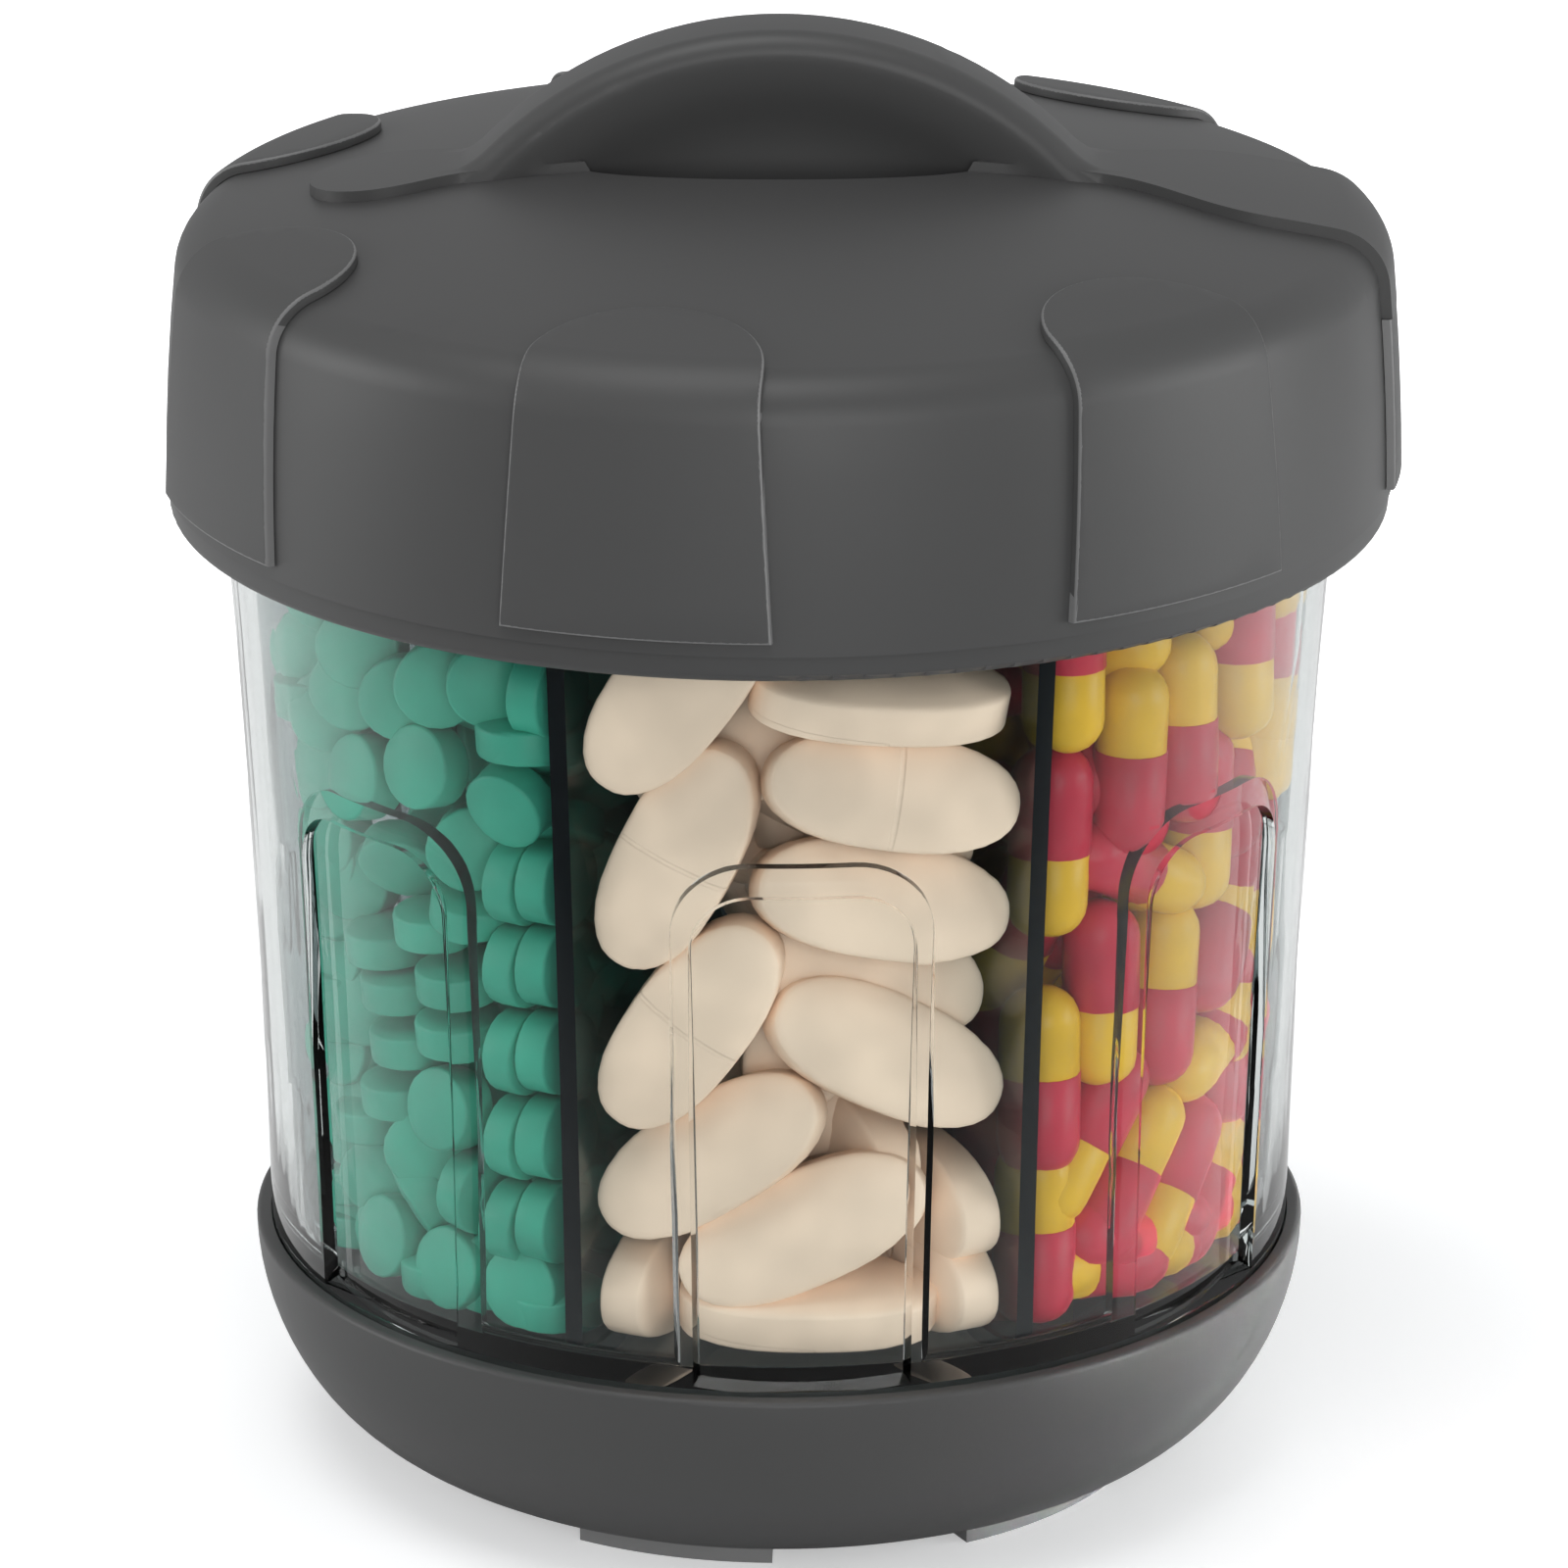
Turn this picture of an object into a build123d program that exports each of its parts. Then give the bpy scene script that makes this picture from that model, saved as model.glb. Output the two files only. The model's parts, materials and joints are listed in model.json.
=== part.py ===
from build123d import *
from math import asin, cos, pi, sin, sqrt
import os

os.makedirs("parts", exist_ok=True)

# Round seven-day organiser, in millimetres, standing on z = 0 with its front towards -Y.
# Azimuths are degrees from -Y, positive towards +X.

# Days and how the compartments and the lid are turned
day_count = 7
day_angle = 360 / day_count
front_day_turn = 2.5

# Base bowl, with a side in two tangent arcs that meet at the turn
rim_band = 1.4
bowl_height = 20.4
bowl_turn_inset = 3.5
bowl_turn_drop = 12.2
bowl_flat_inset = 16.4
bowl_wall = 2.0
rim_round = 0.5

# Foot pads under the bowl
foot_height = 0.9
foot_count = 6
foot_angle = 30.0
foot_turn = -16.0
foot_width = 6.1
foot_overhang = 3.0
bond_gap = 0.05

# Clear canister
canister_foot_r = 46.6
canister_mouth_r = 50.6
canister_height = 82.7
wall_hollow = 0.62
canister_wall = 1.9
canister_floor = 2.0
floor_lift = 1.6
floor_round = 2.0
mouth_round = 0.6
seat_depth = 1.5
skirt_inset = 1.3
skirt_depth = 6.4
seat_clearance = 0.1
snap_bead = 0.3

# Arched dent in the wall of each compartment
arch_half_width = 9.75
arch_height = 46.4
arch_corner_r = 5.4
arch_depth = 1.2
arch_flank = 30.0
arch_foot_gap = 0.4
bulge_side = 1.4
bulge_top = 2.5

# Divider insert with its hub
vane_thickness = 1.6
hub_r = 7.5
hub_wall = 1.6
vane_clearance = 0.2
hub_cap_thickness = 1.5
hub_cap_spigot = 4.0
hub_cap_clearance = 0.1

# Lid shell
lid_skirt_drop = 14.95
lid_mouth_gap = 1.35
lid_flare = 0.45
lid_corner_inset = 1.2
lid_corner_rise = 10.3
lid_dome_rise = 5.95
lid_shoulder_r = 4.8
lid_wall = 2.2
lip_rise = 2.35
lip_inset = 0.3
lip_round = 0.8

# Grip pads over the lid's shoulder
pad_half_width = 9.85
pad_flare = 3.6
pad_thickness = 0.85
pad_inner_r = 41.5
pad_rise = 3.65
pad_edge_round = 0.3

# Finger pocket in the dome and the carry handle that stands in it
pocket_half_length = 19.6
pocket_half_width = 9.2
pocket_depth = 3.0
pocket_flank = 20.0
handle_top_rise = 11.8
handle_arch_r = 36.0
handle_half_width = 4.7
handle_waist = 2.0
handle_scoop_reach = 12.0
handle_scoop_sag = 0.15
handle_ridge_round = 2.0
handle_blend_r = 8.0
handle_blend_sink = 0.3
fin_tail = 9.0
strip_thickness = 0.9
strip_half_width = 6.2
strip_end_x = -41.4
strip_foot_half_width = 10.3
strip_foot_x = 43.0
strip_drop = 12.3
strip_waist_inset = 0.4
post_r = 2.2
post_x = 9.0
post_clearance = 0.1

# Liner plate under the dome, with its gasket and seal ring
liner_gap = 0.3
liner_plate = 1.6
liner_edge_gap = 1.0
plug_gap = 1.9
plug_wall = 2.6
plug_depth = 3.5
gasket_inset = 1.8
gasket_thickness = 1.5
gasket_gap = 0.3
seal_height = 1.8
seal_groove_depth = 1.1
seal_groove_drop = 0.8
seal_wall_clearance = 0.3
seal_running_clearance = 0.08
seal_lip_height = 0.5
seal_lip_slope = 0.2
seal_root_share = 0.4

# Screws
screw_r = 1.25
screw_hole_r = 1.3
screw_head_r = 2.7
screw_head_height = 1.4
screw_slot_depth = 0.7
liner_screw_count = 4
liner_screw_pitch_r = 30.0
liner_screw_length = 11.0
boss_r = 3.2
handle_screw_length = 12.0
handle_screw_head_r = 3.4
screw_end_gap = 0.5

# How far a cutting shape runs past what it cuts
cut_margin = 1.0

# Radii that follow from the sizes above
rim_r = canister_foot_r + rim_band
bowl_turn_r = rim_r - bowl_turn_inset
bowl_flat_r = rim_r - bowl_flat_inset
foot_outer_r = bowl_flat_r + foot_overhang
foot_inner_r = foot_outer_r - foot_width
lid_mid_r = canister_mouth_r + lid_mouth_gap + lid_wall
lid_skirt_r = lid_mid_r + lid_flare
lid_corner_r = lid_mid_r - lid_corner_inset
liner_flange_r = lid_mid_r - lid_wall - liner_edge_gap
plug_r = canister_mouth_r - canister_wall - plug_gap
gasket_r = plug_r - gasket_inset

# Heights that follow from the sizes above
bowl_bottom_z = foot_height
rim_z = foot_height + bowl_height
seat_z = rim_z - seat_depth
ledge_z = rim_z - skirt_depth
skirt_r = canister_foot_r - skirt_inset
bead_z = (seat_z + ledge_z) / 2
floor_top_z = rim_z + floor_lift
mouth_z = rim_z + canister_height
skirt_bottom_z = mouth_z - lid_skirt_drop
pad_bottom_z = skirt_bottom_z + pad_rise
lid_corner_z = mouth_z + lid_corner_rise
crown_z = lid_corner_z + lid_dome_rise
pocket_floor_z = crown_z - pocket_depth
handle_top_z = crown_z + handle_top_rise
handle_centre_z = handle_top_z - handle_arch_r
arch_half_chord = sqrt(handle_arch_r**2 - (crown_z - handle_centre_z) ** 2)
fin_half_length = arch_half_chord + fin_tail
flange_z = mouth_z + liner_gap
plug_bottom_z = flange_z - plug_depth
gasket_bottom_z = plug_bottom_z - gasket_thickness
vane_top_z = gasket_bottom_z - gasket_gap


def turned(shape, azimuth):
    """Turn a shape that faces the front to an azimuth."""
    return Rot(0, 0, azimuth) * shape


def revolved(face):
    """Revolve a profile drawn with its radius along X and its height along Z."""
    return revolve(Plane.XZ * face, Axis.Z)


def write(shape, node):
    export_step(shape, "parts/" + node + ".step")


def bowl_body(inset):
    """Solid inside of the bowl's skin, moved in by an inset."""
    side_r = (bowl_turn_inset**2 + bowl_turn_drop**2) / (2 * bowl_turn_inset)
    across = (side_r - bowl_turn_inset) / side_r
    down = bowl_turn_drop / side_r
    bottom = bowl_bottom_z + inset
    start = (rim_r - inset, rim_z)
    turn = (bowl_turn_r - inset * across, rim_z - bowl_turn_drop + inset * down)
    flat = (bowl_flat_r, bottom)
    upper = TangentArc(start, turn, tangent=(0, -1))
    lower = TangentArc(turn, flat, tangent=(-down, -across))
    rest = Polyline(flat, (0, bottom), (0, rim_z), start)
    return revolved(make_face([upper, lower, rest]))


def ring_bead(radius, height, size):
    """Ring of triangular section, used for the bead and for its groove."""
    section = Polyline(
        (radius - cut_margin, height - size),
        (radius, height - size),
        (radius + size, height),
        (radius, height + size),
        (radius - cut_margin, height + size),
        close=True,
    )
    return revolved(make_face(section))


def make_base_bowl():
    bowl = bowl_body(0) - bowl_body(bowl_wall)
    seat = Pos(0, 0, (seat_z + rim_z) / 2) * Cylinder(canister_foot_r + seat_clearance, seat_depth)
    socket_r = skirt_r + seat_clearance
    socket = Pos(0, 0, (ledge_z + rim_z) / 2) * Cylinder(socket_r, skirt_depth)
    rim_edges = bowl.edges().filter_by(GeomType.CIRCLE).group_by(Axis.Z)[-1].sort_by(SortBy.RADIUS)
    bowl = fillet(rim_edges[-1], rim_round)
    return bowl - seat - socket - ring_bead(socket_r, bead_z, snap_bead)


def make_foot_pad(index):
    width = foot_outer_r - foot_inner_r
    ring = Cylinder(foot_outer_r, 2 * bowl_height) - Cylinder(foot_inner_r, 2 * bowl_height)
    ring = Pos(0, 0, bowl_height) * ring
    half = foot_angle / 2 * pi / 180
    reach = 2 * rim_r
    side_x, side_y = reach * sin(half), -reach * cos(half)
    wedge = Polyline((0, 0), (-side_x, side_y), (side_x, side_y), close=True)
    pad = ring & extrude(make_face(wedge), bowl_height, dir=(0, 0, 1))
    pad = pad - bowl_body(-bond_gap)
    pad = pad & Pos(0, 0, width / 2) * Box(4 * rim_r, 4 * rim_r, width)
    return turned(pad, foot_turn + index * 360 / foot_count)


def wall_curve_r(height):
    """Outer radius of the canister's wall at a height, on a gentle hollow taper."""
    share = (height - rim_z) / canister_height
    straight = canister_foot_r + (canister_mouth_r - canister_foot_r) * share
    return straight - 4 * wall_hollow * share * (1 - share)


def wall_line(inset, bottom, top):
    """Line of the wall's outside from a bottom to a top, moved in by an inset."""
    middle = (bottom + top) / 2
    return ThreePointArc(
        (wall_curve_r(bottom) - inset, bottom),
        (wall_curve_r(middle) - inset, middle),
        (wall_curve_r(top) - inset, top),
    )


def wall_body(inset, bottom, top):
    """Solid inside the wall's line, from a bottom to a top."""
    side = wall_line(inset, bottom, top)
    rest = Polyline(side @ 1, (0, top), (0, bottom), side @ 0)
    return make_face([side, rest])


def arch_prism(half, top, corner, surface_r, bottom):
    """Arch drawn where the wall's surface meets its sides, with sloped flanks inwards."""
    plane_y = sqrt(surface_r**2 - half**2)
    outline = Pos(0, (top + bottom) / 2) * Rectangle(2 * half, top - bottom)
    outline = fillet(outline.vertices().group_by(Axis.Y)[-1], corner)
    face = Plane.XZ.offset(plane_y) * outline
    reach = 3 * arch_depth
    return extrude(face, -reach, taper=arch_flank) + extrude(face, reach)


def make_canister():
    body = revolve(Plane.XZ * wall_body(0, rim_z, mouth_z), Axis.Z)
    mouth = body.edges().filter_by(GeomType.CIRCLE).group_by(Axis.Z)[-1]
    body = fillet(mouth, mouth_round)
    body = body + Pos(0, 0, (seat_z + rim_z) / 2) * Cylinder(canister_foot_r, seat_depth)
    body = body + Pos(0, 0, (ledge_z + seat_z) / 2) * Cylinder(skirt_r, seat_z - ledge_z)
    body = body + ring_bead(skirt_r, bead_z, snap_bead)
    under = floor_top_z - canister_floor - ledge_z
    body = body - Pos(0, 0, ledge_z + under / 2) * Cylinder(skirt_r - canister_wall, under)
    arch_r = wall_curve_r(rim_z + arch_height / 2)
    dent = arch_prism(arch_half_width, rim_z + arch_height, arch_corner_r, arch_r, rim_z + arch_foot_gap)
    dent = dent - revolve(Plane.XZ * wall_body(arch_depth, rim_z - cut_margin, mouth_z), Axis.Z)
    bulge = arch_prism(
        arch_half_width + bulge_side,
        rim_z + arch_height + bulge_top,
        arch_corner_r + bulge_side,
        arch_r - canister_wall,
        floor_top_z - cut_margin,
    )
    bulge_core = wall_body(canister_wall + arch_depth, floor_top_z - 2 * cut_margin, mouth_z)
    bulge = bulge - revolve(Plane.XZ * bulge_core, Axis.Z)
    hollow = wall_body(canister_wall, floor_top_z, mouth_z + cut_margin)
    low = [v for v in hollow.vertices() if v.X > hub_r and v.Z < floor_top_z + 0.01]
    hollow = fillet(low, floor_round)
    cavity = revolve(Plane.XZ * hollow, Axis.Z)
    for day in range(day_count):
        azimuth = front_day_turn + day * day_angle
        body = body - turned(dent, azimuth)
        cavity = cavity - turned(bulge, azimuth)
    return body - cavity


def make_divider_insert():
    hub_height = vane_top_z - hub_cap_thickness - floor_top_z
    hub = Pos(0, 0, floor_top_z + hub_height / 2) * Cylinder(hub_r, hub_height)
    side = wall_line(canister_wall + vane_clearance, floor_top_z, vane_top_z)
    inner = hub_r - hub_wall / 2
    rest = Polyline(side @ 1, (inner, vane_top_z), (inner, floor_top_z), side @ 0)
    face = make_face([side, rest])
    vertices = [v for v in face.vertices() if v.X > hub_r]
    face = fillet(vertices, floor_round)
    vane = Rot(0, 0, -90) * extrude(Plane.XZ * face, vane_thickness / 2, both=True)
    vane = vane - Pos(0, 0, vane_top_z) * Cylinder(hub_r, 2 * hub_cap_thickness)
    insert = hub
    for day in range(day_count):
        azimuth = front_day_turn + (day + 0.5) * day_angle
        insert = insert + turned(vane, azimuth)
    return insert - Pos(0, 0, floor_top_z + hub_height / 2) * Cylinder(hub_r - hub_wall, hub_height)


def make_hub_cap():
    cap_z = vane_top_z - hub_cap_thickness
    cap = Pos(0, 0, cap_z + hub_cap_thickness / 2) * Cylinder(hub_r - hub_cap_clearance, hub_cap_thickness)
    spigot_r = hub_r - hub_wall - hub_cap_clearance
    spigot_place = Pos(0, 0, cap_z - hub_cap_spigot / 2)
    spigot = spigot_place * Cylinder(spigot_r, hub_cap_spigot)
    return cap + spigot - spigot_place * Cylinder(spigot_r - hub_wall, hub_cap_spigot)


def dome_arc(grow):
    """Dome's line from the shoulder's corner to the crown, grown outwards."""
    corner_x = lid_corner_r + grow
    top = crown_z + grow
    rise = lid_dome_rise
    half_x = corner_x / 2
    radius = (corner_x * corner_x + rise * rise) / (2 * rise)
    half_z = top - radius + sqrt(radius * radius - half_x * half_x)
    return ThreePointArc((corner_x, top - rise), (half_x, half_z), (0, top))


def lid_body(grow, bottom_drop=0.0):
    """Solid inside the lid's skin, grown outwards, that may reach lower than the skirt."""
    corner = (lid_corner_r + grow, crown_z - lid_dome_rise + grow)
    middle_z = (skirt_bottom_z + lid_corner_z) / 2
    skirt_r = lid_skirt_r + grow
    bottom = skirt_bottom_z - bottom_drop
    side = ThreePointArc((skirt_r, skirt_bottom_z), (lid_mid_r + grow, middle_z), corner)
    rest = Polyline((0, crown_z + grow), (0, bottom), (skirt_r, bottom))
    lines = [dome_arc(grow), side, rest]
    if bottom_drop:
        lines.append(Line((skirt_r, bottom), (skirt_r, skirt_bottom_z)))
    face = make_face(lines)
    shoulder = [v for v in face.vertices() if abs(v.X - corner[0]) < 0.01 and v.Y > middle_z]
    return revolved(fillet(shoulder, lid_shoulder_r + grow))


def skin_layer(inner, thickness, bottom):
    """Layer over the lid's skin, from an inner offset to a thickness, down to a bottom height."""
    height = 2 * (crown_z - bottom)
    keep = Pos(0, 0, bottom + height / 2) * Cylinder(2 * lid_skirt_r, height)
    return (lid_body(thickness) - lid_body(inner, cut_margin)) & keep


def pocket(grow):
    """Oval finger pocket in the dome, grown outwards and downwards."""
    depth = 4 * pocket_depth
    inset = pocket_depth / 2 - grow
    oval = Ellipse(pocket_half_length - inset, pocket_half_width - inset)
    return extrude(Pos(0, 0, pocket_floor_z - grow) * oval, depth, taper=-pocket_flank)


def post_spots():
    return [(-post_x, 0), (post_x, 0)]


def liner_screw_spots():
    spots = []
    for index in range(liner_screw_count):
        turn = (index + 0.5) * 2 * pi / liner_screw_count
        spots.append((liner_screw_pitch_r * cos(turn), liner_screw_pitch_r * sin(turn)))
    return spots


def make_lid_shell():
    band_z = skirt_bottom_z + lip_rise / 2
    band = Cylinder(2 * lid_skirt_r, lip_rise) - Cylinder(lid_skirt_r - lip_inset, lip_rise)
    shell = lid_body(0) - Pos(0, 0, band_z) * band
    lip = shell.edges().filter_by(GeomType.CIRCLE).group_by(Axis.Z)[0]
    shell = fillet(lip, lip_round) - pocket(0)
    cavity = lid_body(-lid_wall, cut_margin)
    cavity = cavity - pocket(lid_wall)
    boss_bottom = plug_bottom_z + liner_plate
    boss_height = crown_z - boss_bottom
    for x, y in liner_screw_spots():
        boss = Pos(x, y, boss_bottom + boss_height / 2) * Cylinder(boss_r, boss_height)
        cavity = cavity - boss
    shell = shell - cavity
    for x, y in liner_screw_spots():
        depth = liner_screw_length
        shell = shell - Pos(x, y, plug_bottom_z + depth / 2) * Cylinder(screw_hole_r, depth)
    for x, y in post_spots():
        hole = Pos(x, y, pocket_floor_z) * Cylinder(post_r + post_clearance, 4 * lid_wall)
        shell = shell - hole
    return shell


def make_grip_pad(index):
    reach = 2 * lid_skirt_r
    centre = pad_inner_r + pad_half_width
    slab = Pos(0, -(centre + reach / 2)) * Rectangle(2 * pad_half_width, reach)
    outline = slab + Pos(0, -centre) * Circle(pad_half_width)
    top = crown_z + cut_margin
    prism = extrude(Pos(0, 0, top) * outline, -(top - pad_bottom_z), taper=-pad_flare)
    pad = turned(prism, index * day_angle + 90) & skin_layer(bond_gap, pad_thickness, pad_bottom_z)
    under = lid_body(pad_thickness - pad_edge_round)
    border = []
    for edge in pad.edges():
        ends = [(edge @ 0).Z, (edge @ 0.5).Z, (edge @ 1).Z]
        level = max(ends) - min(ends) < 0.01 and ends[1] > pad_bottom_z + 0.01
        if not level and not under.is_inside(edge @ 0.5):
            border.append(edge)
    pad = fillet(border, pad_edge_round)
    if index == 0:
        height = crown_z - strip_drop - pad_bottom_z
        pad = pad & Pos(0, 0, pad_bottom_z + height / 2) * Cylinder(2 * lid_skirt_r, height)
    return pad


def strip_side(side):
    """One side of the strip: a round end, a straight waist under the grip and a wide foot."""
    left_x = strip_end_x + strip_half_width
    waist = side * (handle_half_width - strip_waist_inset)
    level = [(1, 0), (1, 0)]
    end = Spline((left_x, side * strip_half_width), (-arch_half_chord, waist), tangents=level)
    straight = Line((-arch_half_chord, waist), (arch_half_chord, waist))
    foot = Spline((arch_half_chord, waist), (strip_foot_x, side * strip_foot_half_width), tangents=level)
    return [end, straight, foot]


def strip_outline():
    """Plan of the strip that carries the handle, narrow on the left and wide over the shoulder."""
    left_x = strip_end_x + strip_half_width
    far_x = 2 * lid_skirt_r
    round_end = ThreePointArc((left_x, strip_half_width), (strip_end_x, 0), (left_x, -strip_half_width))
    right = Polyline(
        (strip_foot_x, -strip_foot_half_width),
        (far_x, -strip_foot_half_width),
        (far_x, strip_foot_half_width),
        (strip_foot_x, strip_foot_half_width),
    )
    return make_face([round_end, right] + strip_side(-1) + strip_side(1))


def scoop_side():
    """Hollow of the front side, revolved about the arch's centre so that it follows the top."""
    neck = (handle_arch_r - handle_scoop_reach, handle_waist)
    ridge = (handle_arch_r - handle_ridge_round, handle_half_width)
    middle = ((neck[0] + ridge[0]) / 2, (neck[1] + ridge[1]) / 2 - handle_scoop_sag)
    hollow = TangentArc(neck, middle, tangent=(1, 0))
    swell = TangentArc(middle, ridge, tangent=hollow % 1)
    past = ridge[0] + handle_half_width, ridge[1] + handle_half_width
    rest = Polyline(ridge, past, (0, past[1]), (0, handle_waist), neck)
    ring = revolve(make_face([hollow, swell, rest]), Axis.Y)
    return Pos(0, 0, handle_centre_z) * ring


def fin_outline():
    """Side view of the grip, an arch that blends into the strip at both ends."""
    top = crown_z + strip_thickness - handle_blend_sink
    low = top - lid_dome_rise
    ground_arc = ThreePointArc((-lid_corner_r, low), (0, top), (lid_corner_r, low))
    ground_rest = Polyline(
        (lid_corner_r, low), (lid_corner_r, ledge_z), (-lid_corner_r, ledge_z), (-lid_corner_r, low)
    )
    ground = make_face([ground_arc, ground_rest])
    outline = ground + Pos(0, handle_centre_z) * Circle(handle_arch_r)
    corners = [v for v in outline.vertices() if abs(v.X) < handle_arch_r and v.Y > low + 0.1]
    outline = fillet(corners, handle_blend_r)
    root_z = pocket_floor_z - lid_dome_rise
    height = handle_top_z - root_z
    keep = Pos(0, root_z + height / 2) * Rectangle(2 * fin_half_length, height)
    return outline & keep


def make_fin():
    fin = extrude(Plane.XZ * fin_outline(), handle_half_width, both=True)
    fin = fillet(fin.edges().filter_by(GeomType.CIRCLE), handle_ridge_round)
    scoop = scoop_side()
    return fin - scoop - mirror(scoop, Plane.XZ)


def make_carry_handle():
    bottom = crown_z - strip_drop
    tall = extrude(Pos(0, 0, bottom) * strip_outline(), handle_top_z - bottom, dir=(0, 0, 1))
    strip = tall & skin_layer(0, strip_thickness, bottom)
    core = lid_body(0) - pocket(0)
    handle = (make_fin() - core) + (strip - pocket(0))
    for x, y in post_spots():
        handle = handle + Pos(x, y, pocket_floor_z - lid_wall / 2) * Cylinder(post_r, lid_wall)
        hole_z = pocket_floor_z - lid_wall + handle_screw_length / 2
        handle = handle - Pos(x, y, hole_z) * Cylinder(screw_hole_r, handle_screw_length)
    return handle


def make_liner():
    flange = Pos(0, 0, flange_z + liner_plate / 2) * Cylinder(liner_flange_r, liner_plate)
    plug_height = flange_z + liner_plate - plug_bottom_z
    plug = Pos(0, 0, plug_bottom_z + plug_height / 2) * Cylinder(plug_r, plug_height)
    hollow_height = plug_height - liner_plate
    hollow_z = plug_bottom_z + liner_plate + hollow_height / 2
    hollow = Pos(0, 0, hollow_z) * Cylinder(plug_r - plug_wall, hollow_height)
    groove_height = seal_height + 2 * seal_running_clearance
    groove_z = flange_z - seal_groove_drop - groove_height / 2
    ring = Cylinder(plug_r + cut_margin, groove_height) - Cylinder(plug_r - seal_groove_depth, groove_height)
    liner = flange + plug - hollow - Pos(0, 0, groove_z) * ring
    for x, y in liner_screw_spots():
        hole = Pos(x, y, plug_bottom_z + liner_plate / 2) * Cylinder(screw_hole_r, liner_plate)
        sink = screw_head(x, y, plug_bottom_z)
        liner = liner - hole - sink
    return liner


def screw_head(x, y, bottom):
    """Countersunk head with its flat face down, at a bottom height."""
    cone = Cone(screw_head_r, screw_hole_r, screw_head_height)
    return Pos(x, y, bottom + screw_head_height / 2) * cone


def screw_slot(x, y, bottom):
    """Straight slot for a driver, cut up into a head from its flat face."""
    return Pos(x, y, bottom + screw_slot_depth / 2) * Box(2 * screw_r, screw_r / 2, screw_slot_depth)


def make_liner_screws():
    group = []
    for x, y in liner_screw_spots():
        length = liner_screw_length - screw_end_gap
        shank = Pos(x, y, plug_bottom_z + length / 2) * Cylinder(screw_r, length)
        slot = screw_slot(x, y, plug_bottom_z)
        group.append(shank + screw_head(x, y, plug_bottom_z) - slot)
    return Compound(group)


def make_handle_screws():
    group = []
    head_z = pocket_floor_z - lid_wall
    for x, y in post_spots():
        length = handle_screw_length - screw_end_gap
        shank = Pos(x, y, head_z + length / 2) * Cylinder(screw_r, length)
        head = Pos(x, y, head_z - screw_head_height / 2) * Cylinder(handle_screw_head_r, screw_head_height)
        group.append(shank + head - screw_slot(x, y, head_z - screw_head_height))
    return Compound(group)


def make_gasket():
    height = gasket_bottom_z + gasket_thickness / 2
    return Pos(0, 0, height) * Cylinder(gasket_r, gasket_thickness)


def make_seal_ring():
    """Soft ring with two thin lips that reach for the canister's mouth."""
    inner = plug_r - seal_groove_depth + seal_running_clearance
    top = flange_z - seal_groove_drop - seal_running_clearance
    bottom = top - seal_height
    outer = wall_curve_r(bottom) - canister_wall - seal_wall_clearance
    root = plug_r + (outer - plug_r) * seal_root_share
    low_root = bottom + seal_lip_height + seal_lip_slope
    high_root = top - seal_lip_height - seal_lip_slope
    section = Polyline(
        (inner, bottom),
        (outer, bottom),
        (outer, bottom + seal_lip_height),
        (root, low_root),
        (root, high_root),
        (outer, top - seal_lip_height),
        (outer, top),
        (inner, top),
        close=True,
    )
    return revolved(make_face(section))


write(make_base_bowl(), "base_bowl")
for index in range(foot_count):
    write(make_foot_pad(index), "foot_pad_" + str(index + 1))
write(make_canister(), "canister")
write(make_divider_insert(), "divider_insert")
write(make_hub_cap(), "hub_cap")
write(make_lid_shell(), "lid_shell")
for index in range(day_count):
    write(make_grip_pad(index), "grip_pad_" + str(index + 1))
write(make_carry_handle(), "carry_handle")
write(make_handle_screws(), "handle_screws")
write(make_liner(), "lid_liner")
write(make_liner_screws(), "liner_screws")
write(make_gasket(), "lid_gasket")
write(make_seal_ring(), "seal_ring")
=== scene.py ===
# %% [markdown]
# A round weekly pill organiser, dressed for a studio picture. The measured model gives every
# rigid form its place, and this lesson gives those forms their finish, rebuilds the surfaces
# whose gloss or clearness shows every facet, and fills three of the compartments.

# %% Load the measured model
import bpy
import bmesh
import json
import numpy as np
from math import atan2, cos, pi, radians, sin, sqrt, tan
from mathutils import Euler, Matrix, Vector
from mathutils.bvhtree import BVHTree

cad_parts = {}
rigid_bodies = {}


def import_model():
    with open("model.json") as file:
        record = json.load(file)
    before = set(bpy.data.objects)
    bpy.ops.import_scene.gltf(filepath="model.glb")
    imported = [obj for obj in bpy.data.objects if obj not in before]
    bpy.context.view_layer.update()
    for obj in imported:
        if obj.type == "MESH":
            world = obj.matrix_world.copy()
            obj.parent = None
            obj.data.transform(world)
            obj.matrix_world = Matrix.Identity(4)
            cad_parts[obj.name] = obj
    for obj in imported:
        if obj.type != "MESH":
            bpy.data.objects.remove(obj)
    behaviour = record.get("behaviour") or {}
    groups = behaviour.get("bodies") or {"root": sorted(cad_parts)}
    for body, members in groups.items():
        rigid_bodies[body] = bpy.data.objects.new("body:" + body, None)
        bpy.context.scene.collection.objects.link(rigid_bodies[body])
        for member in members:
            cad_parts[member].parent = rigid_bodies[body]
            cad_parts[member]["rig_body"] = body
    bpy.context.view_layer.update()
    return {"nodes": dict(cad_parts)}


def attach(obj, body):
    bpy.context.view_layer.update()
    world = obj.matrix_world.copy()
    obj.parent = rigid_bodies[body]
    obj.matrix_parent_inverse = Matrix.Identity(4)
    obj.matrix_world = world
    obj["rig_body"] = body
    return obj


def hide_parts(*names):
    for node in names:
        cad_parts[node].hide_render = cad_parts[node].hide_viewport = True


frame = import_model()
NODES = frame["nodes"]
MM = 0.001

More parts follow.
